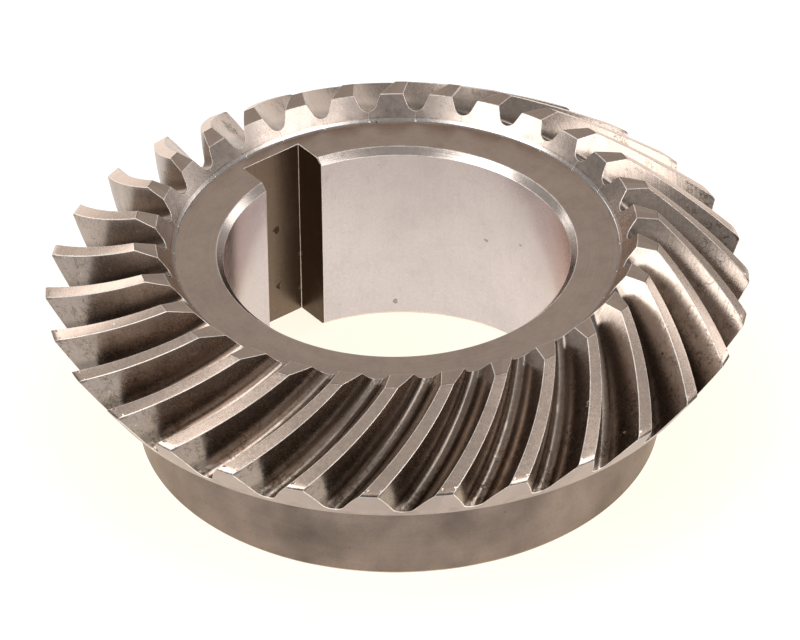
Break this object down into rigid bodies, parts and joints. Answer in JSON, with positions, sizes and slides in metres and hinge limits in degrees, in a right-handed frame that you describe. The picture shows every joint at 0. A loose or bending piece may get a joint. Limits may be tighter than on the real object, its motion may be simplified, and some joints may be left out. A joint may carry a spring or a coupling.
{
  "type": "spiral bevel gear",
  "caption": "Right-hand spiral bevel gear: a steel ring of curved teeth on a short hub, with a wide bore and a straight square keyway.",
  "frame": {"origin": "centre of the bore on the mounting face of the hub", "axes": "+Z along the bore, from the mounting face towards the toothed side; +Y through the middle of the keyway"},
  "size_m": [0.2034, 0.203, 0.066],
  "materials": {
    "machined_steel": "cut and turned steel, dulled and lightly stained, with fine tool marks and bright worn edges"
  },
  "bodies": {
    "root": {"bevel_gear": "machined_steel"}
  },
  "joints": []
}
